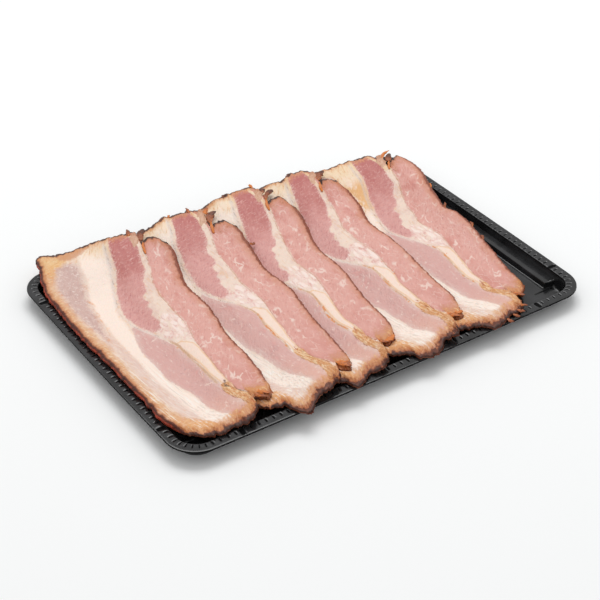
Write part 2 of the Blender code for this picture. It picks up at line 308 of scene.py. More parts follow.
# Plans in millimetres from the middle of the tray. left and right give x at a y, and carry on past
# the lobe as if it were whole. near and far give y at a share of the width, from rind to lobe.
SLICES = [
    {
        "left": [(-80, -110), (-66, -112.3), (-60, -114.4), (-40, -114.8), (-20, -115), (0, -115.6), (25, -116),
                 (45, -115.2), (58, -114.6), (66, -112.6), (73, -110.6), (81, -108), (87, -106.2), (95, -105)],
        "right": [(-80, -66), (-60, -60.2), (-50, -57), (-40, -55.3), (-30, -54.5), (-20, -54.2), (-10, -53),
                  (0, -51), (10, -49.3), (20, -49), (30, -49), (40, -47), (50, -43.4), (60, -41.2), (70, -40.8),
                  (78, -38.5), (88, -33)],
        "near": [(0, -67), (0.01, -69.5), (0.04, -72), (0.09, -74.5), (0.16, -77), (0.23, -78.6), (0.3, -79.8),
                 (0.37, -79.3), (0.44, -78.4), (0.52, -79.2), (0.59, -80), (0.66, -80.3), (0.7, -79.6), (0.745, -77.8),
                 (0.77, -75.6), (0.781, -71), (0.79, -66.5), (0.824, -68), (0.877, -70.4), (0.928, -71.2),
                 (0.964, -70), (1, -67)],
        "far": [(0, 90), (0.01, 93.3), (0.03, 94.8), (0.06, 95.2), (0.1, 94.2), (0.15, 92.4), (0.21, 91.4), (0.28, 91),
                (0.34, 91.3), (0.38, 91.2), (0.425, 90.3), (0.47, 88.5), (0.505, 87.3), (0.55, 86.7), (0.61, 86.3),
                (0.67, 85.6), (0.714, 85.2), (0.728, 86.2), (0.76, 84.8), (0.796, 82.5), (0.818, 71.5), (0.844, 74.6),
                (0.882, 75.6), (0.922, 74.5), (0.961, 72), (1, 67)],
        "shift": (0, 0), "gold": 0.0, "seed": 3,
    },
    {
        "left": [(-80, -76), (0, -71), (80, -66)],
        "right": [(-80, -23), (-60, -16.6), (-50, -13.8), (-40, -12.6), (-30, -11.5), (-20, -10.3), (-10, -8.5),
                  (0, -7), (10, -7), (20, -7.5), (30, -6.4), (40, -3.9), (50, -1.9), (60, -1.2), (70, -1.4), (78, 1),
                  (88, 6)],
        "near": [(0, -66), (0.02, -69), (0.06, -72), (0.11, -74.8), (0.186, -77.2), (0.245, -79.2), (0.283, -82),
                 (0.32, -85.2), (0.35, -87.8), (0.396, -88.8), (0.443, -88.3), (0.48, -86.3), (0.52, -85), (0.566, -83.2),
                 (0.62, -83.6), (0.69, -83.3), (0.755, -81.6), (0.8, -80.2), (0.838, -78.2), (0.856, -74),
                 (0.864, -71), (0.905, -73.2), (0.945, -75), (0.98, -74.6), (1, -70.5)],
        "far": [(0, 84), (0.2, 85), (0.3, 86), (0.35, 86.2), (0.41, 85.8), (0.45, 86.5), (0.467, 87.5), (0.486, 88.7),
                (0.509, 87.5), (0.534, 86.5), (0.574, 87), (0.63, 86.8), (0.66, 85.5), (0.675, 86.5), (0.687, 87.8),
                (0.715, 85.5), (0.756, 84.6), (0.785, 83), (0.81, 69.5), (0.821, 68), (0.86, 69.3), (0.905, 69.8),
                (0.945, 69.4), (0.968, 67.4), (1, 62)],
        "shift": (0.3, -3.5), "gold": 0.1, "seed": 11,
    },
    {
        "left": [(-80, -41), (0, -38), (80, -33)],
        "right": [(-80, 7), (-60, 13.5), (-50, 17.8), (-40, 19.3), (-30, 20.1), (-20, 21.8), (-10, 24), (0, 26.1),
                  (10, 26.8), (20, 26.8), (30, 28.6), (40, 32.2), (50, 35.2), (60, 36.8), (70, 37), (78, 39.5), (88, 44)],
        "near": [(0, -74), (0.1, -76.5), (0.2, -78), (0.25, -81), (0.281, -84.2), (0.323, -85.8), (0.375, -85.6),
                 (0.417, -84), (0.458, -82.2), (0.52, -80.8), (0.583, -81.2), (0.646, -81.8), (0.7, -82.2), (0.74, -81.2),
                 (0.771, -79.4), (0.787, -75), (0.797, -70), (0.808, -65.6), (0.825, -66.5), (0.856, -68.8), (0.889, -68.9),
                 (0.93, -67.4), (0.975, -65.6), (1, -62)],
        "far": [(0, 85), (0.26, 87), (0.338, 88.8), (0.39, 89.2), (0.442, 89), (0.506, 88), (0.532, 89), (0.556, 90),
                (0.578, 88.8), (0.61, 89.2), (0.65, 89), (0.7, 89), (0.734, 89.2), (0.753, 88.6), (0.78, 85.5),
                (0.8, 83), (0.824, 71), (0.869, 72.3), (0.915, 72.9), (0.946, 72.3), (0.969, 69), (1, 62)],
        "shift": (0.3, 0.5), "gold": 0.25, "seed": 23,
    },
    {
        "left": [(-80, -2), (0, 1), (80, 6)],
        "right": [(-80, 48), (-60, 54), (-50, 58.3), (-40, 59.5), (-30, 60.2), (-20, 61.5), (-10, 63.2), (0, 64.6),
                  (10, 65), (20, 64.7), (30, 65), (40, 68.2), (50, 71.5), (60, 72.3), (70, 72.5), (78, 75), (88, 80)],
        "near": [(0, -73), (0.08, -76), (0.18, -77.8), (0.24, -80.2), (0.264, -83.8), (0.3, -85.8), (0.38, -86.3),
                 (0.46, -86.1), (0.51, -85), (0.56, -83.6), (0.6, -81.4), (0.65, -81.8), (0.71, -82.9), (0.76, -82),
                 (0.795, -80), (0.805, -76), (0.81, -71), (0.818, -67.6), (0.834, -69), (0.871, -71.4), (0.911, -71.8),
                 (0.947, -70.2), (0.97, -67.5), (1, -62)],
        "far": [(0, 85), (0.23, 87.5), (0.311, 88), (0.338, 89), (0.392, 89.5), (0.432, 89), (0.459, 88), (0.486, 86.5),
                (0.511, 85.3), (0.536, 86), (0.573, 86.8), (0.592, 86.5), (0.603, 88), (0.622, 88.8), (0.638, 87.5),
                (0.678, 87.6), (0.703, 88.2), (0.725, 86.5), (0.761, 85), (0.785, 83), (0.8, 80), (0.816, 71), (0.838, 73.6),
                (0.882, 72.8), (0.933, 71), (0.968, 69.3), (1, 63)],
        "shift": (0, 0.5), "gold": 0.45, "seed": 37,
    },
    {
        "left": [(-80, 37), (0, 41), (80, 47)],
        "right": [(-80, 91), (-60, 96.2), (-50, 98.8), (-40, 100.3), (-30, 102.4), (-20, 104.2), (-10, 106.2), (0, 107.8),
                  (10, 108.3), (18, 106.9), (24, 108.4), (32, 110.6), (40, 113.3), (50, 117), (60, 119.4), (66, 119.6),
                  (74, 119.2), (80, 120), (88, 124)],
        "near": [(0, -73), (0.07, -77), (0.185, -79.3), (0.269, -81), (0.306, -83.8), (0.361, -85.6), (0.426, -86.1),
                 (0.463, -85), (0.509, -84.3), (0.556, -84.6), (0.583, -82.8), (0.615, -81.6), (0.657, -82.3),
                 (0.704, -80.9), (0.741, -80.6), (0.775, -79.4), (0.79, -77.6), (0.797, -73.5), (0.804, -69.6),
                 (0.814, -68), (0.83, -68.4), (0.858, -70.3), (0.885, -71), (0.9, -69), (0.934, -66.8), (1, -62)],
        "far": [(0, 84), (0.24, 86), (0.291, 86), (0.345, 85.5), (0.397, 85.7), (0.449, 86), (0.5, 86), (0.531, 85.3),
                (0.547, 86), (0.566, 86.2), (0.611, 85), (0.663, 85.3), (0.716, 85.2), (0.744, 85), (0.772, 83.5),
                (0.79, 81.5), (0.803, 78), (0.818, 69), (0.834, 70.2), (0.866, 72), (0.914, 73.7), (0.949, 75.2),
                (0.973, 76.2), (1, 73)],
        "shift": (0.3, 0), "gold": 0.8, "seed": 51,
    },
]


def curve_at(stations, place):
    """Smooth curve through given stations, each a (place, value) pair."""
    places, values = np.array(stations, float).T
    slopes = np.gradient(values, places)
    beyond = place - np.clip(place, places[0], places[-1])
    place = np.clip(place, places[0], places[-1])
    span = np.clip(np.searchsorted(places, place, side="right") - 1, 0, len(places) - 2)
    step = places[span + 1] - places[span]
    t = (place - places[span]) / step
    smooth = (1 + 2 * t) * (1 - t) ** 2 * values[span] + t * (1 - t) ** 2 * step * slopes[span]
    smooth += t * t * (3 - 2 * t) * values[span + 1] - t * t * (1 - t) * step * slopes[span + 1]
    return smooth + beyond * np.where(beyond > 0, slopes[-1], slopes[0])


def line_at(stations, place):
    """Straight stretches through given stations."""
    return np.interp(place, *np.array(stations, float).T)


def wander(place, pitch, seed):
    """A smooth random line from -1 to 1 that turns about once in every pitch."""
    values = np.random.default_rng(seed).uniform(-1, 1, 997)
    step = np.floor(place / pitch).astype(int)
    rest = ease(place / pitch - step)
    return values[step % 997] * (1 - rest) + values[(step + 1) % 997] * rest


def mottle(x, y, pitch, seed):
    """Smooth random ground from -1 to 1 with lumps of about that pitch."""
    values = np.random.default_rng(seed).uniform(-1, 1, (211, 211))
    column, line = np.floor(x / pitch).astype(int), np.floor(y / pitch).astype(int)
    s, t = ease(x / pitch - column), ease(y / pitch - line)
    near = values[column % 211, line % 211] * (1 - s) + values[(column + 1) % 211, line % 211] * s
    far = values[column % 211, (line + 1) % 211] * (1 - s) + values[(column + 1) % 211, (line + 1) % 211] * s
    return near * (1 - t) + far * t


def rest_height(x, y):
    """Underside of whatever lies lowest: on the floor in the middle, up on the flange at the rims."""
    inner_x, inner_y = HALF_LENGTH - FLANGE_WIDTH, HALF_WIDTH - FLANGE_WIDTH + 0.2
    low = 1 - ease(1 - (inner_y - np.abs(y)) / RIM_DRAPE)
    low *= 1 - ease(1 - (x + inner_x) / SIDE_DRAPE)
    low *= 1 - ease(1 - (inner_x - x) / SIDE_DRAPE)
    return FLOOR_TOP + GAP + (FLANGE_TOP - FLOOR_TOP) * (1 - low)


def underside(number, x, y):
    """Underside of a slice, which climbs over the left edge of every slice after it."""
    height = rest_height(x, y)
    for later in SLICES[number + 1:]:
        height = height + PITCH * ease((x - line_at(later["left"], y)) / CLIMB + 1)
    return height


def crowded(share):
    """Draws cells together at both ends of a row, where the edges are rounded."""
    return share - CROWDING * np.sin(2 * math.pi * share) / (2 * math.pi)


def cut_shift(number, y):
    """How far right in the first slice the same meat lies, by its place along the slice."""
    return curve_at(SLICES[0]["right"], y) - curve_at(SLICES[number]["right"], y)


# The pattern in the meat, in the place where the first slice shows it: a thin muscle under the
# rind, a band of firm white fat, two long muscles, a marbled join beside them, and the lobe.
WHITE_BAND = [(-84, 96), (-68, 90), (-70, 79), (-72.5, 73), (-75, 66), (-78, 58), (-81, 51), (-84, 44), (-87, 37),
              (-88.5, 30), (-89, 22), (-90, 12), (-92.5, 5), (-94, -2), (-95, -12), (-94.5, -25), (-92, -36),
              (-90.5, -45), (-90, -58), (-87.5, -70), (-87, -78), (-93, -76), (-98, -68), (-99, -58), (-99.5, -45),
              (-101, -30), (-101, -15), (-101, 0), (-101, 12), (-100, 24), (-98.5, 34), (-96.5, 44), (-94.5, 52),
              (-91.5, 60), (-89, 68), (-87, 76), (-85, 84)]
THIN_MUSCLE = [(-106, 70), (-101, 78), (-93, 80.5), (-88, 76), (-89, 68), (-92.5, 62), (-95, 54), (-97, 45),
               (-98.8, 36), (-101, 28), (-104, 17), (-107, 10), (-109, 22), (-110, 36), (-109.5, 48), (-108, 60)]
SMOKED_END = [(-95, 96), (-79, 96), (-78, 87), (-84, 83), (-90, 80.5), (-95, 84)]
UPPER_MUSCLE = [(-64.5, 92), (-66, 85), (-68, 80), (-70.5, 74), (-72, 70), (-74, 64), (-76.5, 58), (-79.5, 52),
                (-81.5, 47), (-83.5, 41), (-85.5, 35), (-86.8, 29), (-85.6, 22), (-83.8, 16), (-81.8, 10), (-79.5, 9),
                (-77, 10), (-75, 15), (-76, 21), (-74.5, 24), (-75, 28), (-72.5, 31), (-73.5, 34.5), (-72.5, 37),
                (-69.5, 38.5), (-67, 43), (-66, 47.5), (-63.5, 52), (-60.5, 56), (-59.5, 60), (-58, 66), (-57, 70),
                (-56.5, 76), (-56, 92)]
LOWER_MUSCLE = [(-88, 20), (-90, 13), (-92.5, 7), (-94, 0), (-95, -10), (-94, -27), (-91, -38), (-90, -46),
                (-89.5, -60), (-87.5, -72), (-86, -96), (-79.5, -96), (-79, -80), (-78.3, -70), (-78, -60),
                (-77.6, -50), (-77.8, -40), (-77.8, -25), (-78, -12), (-78.6, -5), (-79.8, 0), (-81.8, 6),
                (-83.6, 12), (-85.4, 20)]
LOBE = [(-54.5, 85), (-54.5, 66), (-56, 60), (-58, 54), (-60, 49), (-62, 44), (-64.2, 38), (-65, 32), (-65, 25),
        (-65.5, 18), (-65.5, 12), (-66, 5), (-67.5, -2), (-69.5, -10), (-71, -17), (-72, -25), (-72.6, -35), (-73, -45),
        (-73.4, -52), (-72, -58), (-71, -64), (-71, -96), (-10, -96), (-10, 85)]
JOIN = [(-80.5, 9), (-76, 13), (-72, 18), (-68, 17), (-65.5, 10), (-67, 0), (-69.5, -9), (-73, -8), (-77.5, -3), (-79.5, 3)]
CREAM_STRIP = [(-78.2, -6), (-75, -6), (-71, -12), (-71.8, -22), (-72.6, -34), (-73.4, -48), (-76.5, -47), (-77.4, -35),
               (-77.6, -22)]
PALE_LEAN = [(-107, 12), (-103, 12), (-101.5, 0), (-101, -20), (-98.5, -40), (-97, -58), (-100, -68), (-107, -60),
             (-108, -30), (-108.5, -5)]
SKIN_LINE = [(-68.5, 84), (-73, 73), (-76, 64), (-80.5, 52), (-84.6, 42), (-87.2, 34), (-88, 28), (-86.8, 21),
             (-84.8, 15), (-82.8, 9), (-80.6, 3), (-78.8, -2), (-77.6, -8), (-77.8, -16), (-78.2, -27), (-77.9, -44)]
SEAM_LINE = [(-53.8, 70), (-55, 64), (-58.5, 54), (-62.5, 43.5), (-65.3, 34), (-65.6, 18), (-66.4, 4), (-69.5, -10),
             (-71.6, -22), (-72.6, -38), (-73.4, -51)]
FAT_STRIP = [(-75.2, -48), (-76, -54), (-75.5, -60), (-75.2, -66), (-76, -72), (-78, -78), (-79, -84)]
CRACK = [(-74.5, -44), (-76, -48.5), (-73.8, -52), (-72.2, -60), (-71.5, -68)]


def depth_in(x, y, outline):
    """Distance inside a closed outline, and below 0 outside it."""
    inside = np.zeros(len(x), bool)
    corners = np.array(outline, float)
    for (ax, ay), (bx, by) in zip(corners, np.roll(corners, -1, 0)):
        crossing = (ay > y) != (by > y)
        reach = ax + (bx - ax) * (y - ay) / np.where(by == ay, 1e-9, by - ay)
        inside ^= crossing & (x < reach)
    distance = distance_to(x, y, [*outline, outline[0]])
    return np.where(inside, distance, -distance)


def distance_to(x, y, line):
    """Distance to the nearest point on an open line."""
    nearest = np.full(len(x), 1e9)
    for (ax, ay), (bx, by) in zip(line, line[1:]):
        share = ((x - ax) * (bx - ax) + (y - ay) * (by - ay)) / ((bx - ax) ** 2 + (by - ay) ** 2)
        share = np.clip(share, 0, 1)
        nearest = np.minimum(nearest, np.hypot(x - ax - share * (bx - ax), y - ay - share * (by - ay)))
    return nearest


def store(piece, fields):
    for name, values in fields.items():
        stored = piece.data.attributes.new(name, "FLOAT", "POINT")
        stored.data.foreach_set("value", values.astype(np.float32))


def store_cut(piece, a, b, z):
    cut = piece.data.attributes.new("cut", "FLOAT_VECTOR", "POINT")
    cut.data.foreach_set("vector", np.stack([a, b, z], 1).astype(np.float32).ravel())


def shape_slice(number):
    """One slice: a thin slab of cells, drawn out to its plan, draped, and given its edges and relief."""
    plan = SLICES[number]
    slab = grid_block(f"bacon_{number + 1}", CELLS_ACROSS, CELLS_ALONG)
    bpy.ops.object.mode_set(mode="EDIT")
    bpy.ops.mesh.select_all(action="SELECT")
    for _ in range(3):
        bpy.ops.mesh.extrude_region_move(TRANSFORM_OT_translate={"value": (0, 0, 1)})
    bpy.ops.mesh.select_all(action="SELECT")
    bpy.ops.mesh.normals_make_consistent(inside=False)
    bpy.ops.object.mode_set(mode="OBJECT")
    cell = read_points(slab)
    across, along, layer = crowded(cell[:, 0]), crowded(cell[:, 1]), np.rint(cell[:, 2]).astype(int)

    seed = plan["seed"]
    rough_near = 0.6 * wander(across * 70, 2.1, seed) + 0.6 * wander(across * 70, 0.8, seed + 1)
    rough_near += 0.6 * wander(across * 70, 4.4, seed + 15)
    rough_far = 0.3 * wander(across * 70, 2.6, seed + 2) + 0.45 * wander(across * 70, 0.9, seed + 3)
    near = line_at(plan["near"], across) + rough_near
    far = line_at(plan["far"], across) + rough_far
    y = NEAR_LINE + (FAR_LINE - NEAR_LINE) * along
    y = y + (near - NEAR_LINE) * ease(1 - along / 0.3) + (far - FAR_LINE) * ease(1 - (1 - along) / 0.3)
    left, right = curve_at(plan["left"], y), curve_at(plan["right"], y)
    left = left + 0.4 * wander(y, 3.1, seed + 4) + 0.25 * wander(y, 1.0, seed + 5)
    right = right + 0.25 * wander(y, 4.3, seed + 6) + 0.18 * wander(y, 1.1, seed + 7)
    x = left + (right - left) * across

    from_left, from_right = x - left, right - x
    from_near, from_far = y - near, far - y
    from_edge = np.minimum(np.minimum(from_left, from_right), np.minimum(from_near, from_far))
    height = underside(number, x, y)
    stretch = cut_shift(number, y)
    a = x + stretch + plan["shift"][0] + 0.7 * mottle(x, y, 9, seed + 8)
    b = y + plan["shift"][1] * ease((y + 60) / 30) + 1.0 * mottle(x + 50, y, 11, seed + 9)
    fields = {
        "white_band": depth_in(a, b, WHITE_BAND),
        "thin_muscle": depth_in(a, b, THIN_MUSCLE),
        "smoked_end": depth_in(a, b, SMOKED_END),
        "upper_muscle": depth_in(a, b, UPPER_MUSCLE),
        "lower_muscle": depth_in(a, b, LOWER_MUSCLE),
        "lobe": depth_in(a, b, LOBE),
        "join": depth_in(a, b, JOIN),
        "cream_strip": depth_in(a, b, CREAM_STRIP),
        "pale_lean": depth_in(a, b, PALE_LEAN),
        "skin_line": distance_to(a, b, SKIN_LINE),
        "seam_line": distance_to(a, b, SEAM_LINE),
        "fat_strip": distance_to(a, b, FAT_STRIP),
        "crack": distance_to(a, b, CRACK),
        "from_left": from_left,
        "from_right": from_right,
        "from_near": from_near,
        "from_far": from_far,
    }
    relief = 0.1 * mottle(x, y, 6, seed + 10) + 0.06 * mottle(x, y, 2, seed + 11) + 0.03 * mottle(x, y, 0.9, seed + 13)
    relief += 0.24 * ease(fields["lobe"] / 6) * ease(from_right / 8)
    relief -= 0.25 * np.exp(-((fields["seam_line"] / 0.7) ** 2)) + 0.15 * np.exp(-((fields["skin_line"] / 0.6) ** 2))
    relief -= 0.6 * np.exp(-((fields["crack"] / 0.8) ** 2))
    if number + 1 < len(SLICES):
        height = height - 0.7 * ease(1 - from_near / 8) * ease((across - 0.74) / 0.12)
    folded = ease((2.6 - fields["fat_strip"]) / 1.0) * ease(from_near / 2)
    relief += folded * (0.5 + 0.4 * np.sin(2.6 * (a + 0.12 * b) + 1.3 * np.sin(b * 0.33 + seed)))
    relief += 0.12 * wander(x * 0.9 + y * 0.25, 0.8, seed + 14) * ease(1 - from_near / 9)

    body = THICKNESS - 1.5 * ease(1 - from_near / 7) - 0.8 * ease(1 - from_far / 5) - 0.5 * ease(1 - from_right / 3)
    round_off = 0.8
    droop = round_off - np.sqrt(np.maximum(round_off**2 - np.maximum(round_off - from_edge, 0) ** 2, 0))
    shares = np.array([0.05, 0.35, 0.68, 1.0])[layer]
    top = layer == 3
    z = height + body * shares - np.where(top, droop, 0) + np.where(top, relief * ease(from_edge / 1.2), 0)
    z = np.where(z > HIGHEST - 0.3, HIGHEST - 0.3 + 0.3 * np.tanh((z - HIGHEST + 0.3) / 0.6), z)
    bulge = np.array([-0.25, 0.15, 0.3, 0.0])[layer]
    bulge = bulge + (0.22 * mottle(x + z * 7, y + z * 11, 0.8, seed + 12) + 0.12) * (layer > 0)
    on_left, on_right = cell[:, 0] < 1e-4, cell[:, 0] > 1 - 1e-4
    on_near, on_far = cell[:, 1] < 1e-4, cell[:, 1] > 1 - 1e-4
    x = x + bulge * (on_right.astype(float) - on_left)
    y = y + bulge * (on_far.astype(float) - on_near)
    set_points(slab, x, y, z)
    store(slab, fields)
    store_cut(slab, a, b, z)
    bpy.ops.object.shade_smooth_by_angle(angle=math.radians(60))
    return slab


def streaks(wire, cut, angle, width, length, detail=3.0, roughness=0.55, seed=0.0):
    """Noise about 0 in streaks of that width and length, in millimetres, lying at that angle."""
    sources = {
        "Vector": cut,
        "Location": (seed, seed * 1.7, 0),
        "Rotation": (0, 0, math.radians(angle)),
        "Scale": (length, width, width),
    }
    laid = wire.node("ShaderNodeMapping", sources, vector_type="TEXTURE")
    return noise(wire, laid, 1.0, detail, roughness) * 2.8


def clefts(wire, cut, angle, width, length, seed=0.0):
    """Distance to the seams between rough-edged lumps of that size, as a share of the size."""
    sources = {
        "Vector": cut,
        "Location": (seed, seed * 1.7, 0),
        "Rotation": (0, 0, math.radians(angle)),
        "Scale": (length, width, width),
    }
    laid = wire.node("ShaderNodeMapping", sources, vector_type="TEXTURE")
    warp = wire.node("ShaderNodeTexNoise", {"Vector": laid, "Scale": 1.6, "Detail": 3.0}, output="Color")
    bent = wire.node("ShaderNodeVectorMath", {0: warp, 1: (0.9, 0.9, 0.0), 2: laid}, operation="MULTIPLY_ADD")
    return wire.node("ShaderNodeTexVoronoi", {"Vector": bent, "Scale": 1.0}, output="Distance", feature="DISTANCE_TO_EDGE")


def flat(wire, red, green, blue):
    """A plain colour to lay others over."""
    plain = wire.node("ShaderNodeRGB", {})
    plain.socket.default_value = swatch(red, green, blue)
    return plain


def veined(wire, vein, patch, width):
    """Thin winding veins where a streak crosses 0, only inside patches."""
    line = vein.sum("ABSOLUTE", 0.0).rising(width, width * 0.35)
    return line * patch


CREAM = swatch(254, 234, 220)
PALE_FAT = swatch(238, 214, 198)
GREY_FAT = swatch(222, 208, 197)
TAN_FAT = swatch(222, 168, 122)
GOLD_FAT = swatch(234, 178, 108)
PALE_PINK = swatch(228, 198, 187)
VEIN = swatch(240, 209, 197)
BROWNED = swatch(186, 112, 74)
SMOKED = swatch(142, 76, 48)
RIND = swatch(96, 40, 25)
RIND_FACE = swatch(190, 70, 44)
CRUST = swatch(92, 44, 30)
CHAR = swatch(60, 34, 27)
ORANGE = swatch(224, 132, 62)


def bacon_finish(number):
    """The look of one slice: fat first, then each muscle, its marbling, and what smoke has browned."""
    plan = SLICES[number]
    finish, shader, wire = new_finish(f"smoked_belly_{number + 1}")
    tree = finish.node_tree
    seed = plan["seed"] * 13.0

    def field(name):
        return wire.node("ShaderNodeAttribute", {}, output="Fac", attribute_name=name)

    cut = wire.node("ShaderNodeAttribute", {}, output="Vector", attribute_name="cut")
    b = wire.node("ShaderNodeSeparateXYZ", {"Vector": cut}, output="Y")
    fine = streaks(wire, cut, 55, 0.8, 3.6, seed=seed)
    cross = streaks(wire, cut, 125, 1.0, 3.0, seed=seed + 1)
    teeth = streaks(wire, cut, 50, 1.4, 4.0, seed=seed + 3)
    cloud = streaks(wire, cut, 80, 7.0, 12.0, seed=seed + 5)
    blotch = streaks(wire, cut, 40, 2.4, 3.6, seed=seed + 7)
    speck = streaks(wire, cut, 0, 0.9, 0.9, detail=2.0, seed=seed + 9)
    grain = streaks(wire, cut, 93, 1.0, 7.0, seed=seed + 11)
    from_left, from_right = field("from_left"), field("from_right")
    from_near, from_far = field("from_near"), field("from_far")

    # Fat: mottled under the rind, pure in the white band, greyer towards the near end.
    colour = flat(wire, 240, 216, 199)
    colour = colour.over(PALE_PINK, (cloud + blotch * 0.5).rising(-0.2, 0.4) * 0.75)
    colour = colour.over(swatch(232, 188, 150), (grain + cloud * 0.6 + blotch * 0.4).rising(0.1, 0.6) * 0.6)
    far_reach = (from_far * -1.0 + 32.0).rising(0.0, 32.0)
    near_reach = (from_near * -1.0 + 30.0).rising(0.0, 30.0)
    tan_reach = far_reach * 11.0 + near_reach * 13.0 + 7.5
    diagonal = streaks(wire, cut, 128, 1.2, 6.0, seed=seed + 31)
    tan = (tan_reach - from_left + grain * 1.5 + cloud * 2.5 + blotch * 2.2 + diagonal * 2.2).rising(-2.0, 4.5)
    colour = colour.over(TAN_FAT, tan * 0.9)
    colour = colour.over(GOLD_FAT, tan * (far_reach + grain * 0.6).rising(0.1, 0.6) * 0.85)
    colour = colour.over(swatch(232, 166, 100), tan * (near_reach + blotch * 0.5 + cloud * 0.4).rising(0.2, 1.0) * 0.7)
    ladder = streaks(wire, cut, 10, 0.9, 5.0, seed=seed + 13)
    colour = colour.over(swatch(243, 208, 162), tan * ladder.rising(0.05, 0.5) * 0.75)
    colour = colour.over(swatch(206, 132, 78), tan * (ladder + blotch * 0.4).rising(-0.15, -0.7) * 0.75)
    colour = colour.over(swatch(250, 224, 190), tan * (diagonal + grain * 0.3).rising(0.15, 0.6) * 0.6)
    colour = colour.over(swatch(228, 142, 92), tan * (diagonal + blotch * 0.6).rising(-0.25, -0.8) * 0.7)
    white = (field("white_band") + grain * 0.8 + cloud * 0.8 + blotch * 0.6).rising(-0.9, 1.1)
    colour = colour.over(CREAM, white)
    peach = field("white_band").sum("ABSOLUTE", 0.0).rising(2.2, 0.2) * (blotch + grain * 0.6).rising(0.0, 0.6)
    colour = colour.over(swatch(250, 202, 160), peach * b.rising(-30.0, -10.0) * b.rising(75.0, 55.0) * 0.6)
    wisps = streaks(wire, cut, 97, 0.9, 14.0, detail=2.0, seed=seed + 15)
    grey = white * b.rising(-5.0, -40.0) * wisps.rising(0.0, -0.5)
    colour = colour.over(GREY_FAT, grey * 0.75)
    colour = colour.over(swatch(252, 246, 238), b.rising(10.0, -30.0) * wisps.rising(0.05, 0.45) * 0.7)
    slant = streaks(wire, cut, 62, 1.0, 7.0, seed=seed + 16)
    far_gold = (far_reach * 1.25 + cloud * 0.4 + slant * 0.25 + plan["gold"] * 0.5 - 0.75).rising(-0.3, 0.8)
    colour = colour.over(swatch(238, 206, 160), far_gold * 0.75)
    colour = colour.over(swatch(222, 160, 98), far_gold * slant.rising(0.1, 0.6) * 0.7)
    patch_gold = (field("white_band") + 3.0).rising(0.0, 4.0) * b.rising(38.0, 46.0) * b.rising(70.0, 62.0)
    colour = colour.over(swatch(232, 174, 104), patch_gold * (cloud + slant * 0.5).rising(-0.6, 0.1) * plan["gold"] * 1.1)

    # The thin muscle, mauve and crossed by fine white fibres, and the pale lean below it.
    pale = (field("pale_lean") + grain * 2.5 + cloud * 2.0 + blotch).rising(-1.0, 2.5)
    colour = colour.over(PALE_PINK, pale * 0.55)
    colour = colour.over(swatch(246, 226, 212), pale * (diagonal + grain * 0.5).rising(0.1, 0.6) * 0.7)
    colour = colour.over(swatch(236, 186, 146), pale * (diagonal + blotch * 0.6).rising(-0.2, -0.7) * 0.65)
    thin = (field("thin_muscle") + grain * 1.2 + diagonal * 1.8 + blotch * 2.0 - 0.6).rising(-2.2, 2.6)
    mauve = flat(wire, 207, 172, 163).over(swatch(188, 150, 145), (cloud * 0.6 + blotch * 0.8).rising(0.0, 0.8) * 0.7)
    mauve = mauve.over(swatch(222, 198, 188), (teeth + fine * 0.5).rising(0.1, 0.8) * 0.7)
    mauve = mauve.over(swatch(238, 220, 210), diagonal.rising(0.15, 0.75) * 0.7)
    mauve = mauve.over(swatch(246, 230, 221), veined(wire, blotch, diagonal.rising(-0.3, 0.4), 0.1) * 0.7)
    colour = colour.over(mauve, thin * 0.92)
    stained = (field("thin_muscle").sum("ABSOLUTE", 0.0) + blotch * 1.5).rising(2.6, 0.8)
    colour = colour.over(swatch(234, 166, 116), stained * (blotch + speck * 0.4).rising(0.1, 0.6) * 0.7)
    smoked_end = (field("smoked_end") + blotch * 1.4 + grain).rising(-1.2, 1.8)
    colour = colour.over(swatch(208, 146, 106), smoked_end * 0.8)

    # The upper muscle, rosier towards its far end and toothed along the fat beside it.
    fibre = streaks(wire, cut, 12, 0.75, 3.6, seed=seed + 25)
    upper = (field("upper_muscle") + teeth * 0.7 + fibre * 0.9).rising(-0.4, 0.5)
    rose = flat(wire, 217, 158, 151).over(swatch(198, 124, 117), (b.rising(25.0, 75.0) + cloud * 0.3).rising(0.2, 0.9))
    rose = rose.over(swatch(184, 100, 95), (cloud * 0.6 + b.rising(40.0, 78.0) * 0.7 + blotch * 0.3).rising(0.35, 0.95) * 0.8)
    rose = rose.over(swatch(231, 188, 179), (fibre + blotch * 0.2).rising(0.1, 0.8) * 0.6)
    rose = rose.over(swatch(184, 108, 104), (fibre + blotch * 0.3).rising(-0.1, -0.8) * 0.55)
    edge_light = field("upper_muscle").rising(2.6, 0.0) * (fibre + teeth * 0.5).rising(-0.1, 0.5)
    rose = rose.over(swatch(238, 204, 192), edge_light * 0.7)
    rose = rose.over(swatch(112, 54, 50), (speck + blotch * 0.5).rising(1.0, 1.2) * b.rising(0.0, 40.0) * 0.6)
    rose = rose.over(swatch(228, 172, 164), (fine + blotch * 0.5 + cross * 0.3).rising(0.1, 0.8) * 0.6)
    rose = rose.over(swatch(182, 104, 106), (fine + blotch * 0.4 + cross * 0.3).rising(-0.1, -0.8) * 0.6)
    colour = colour.over(rose, upper)

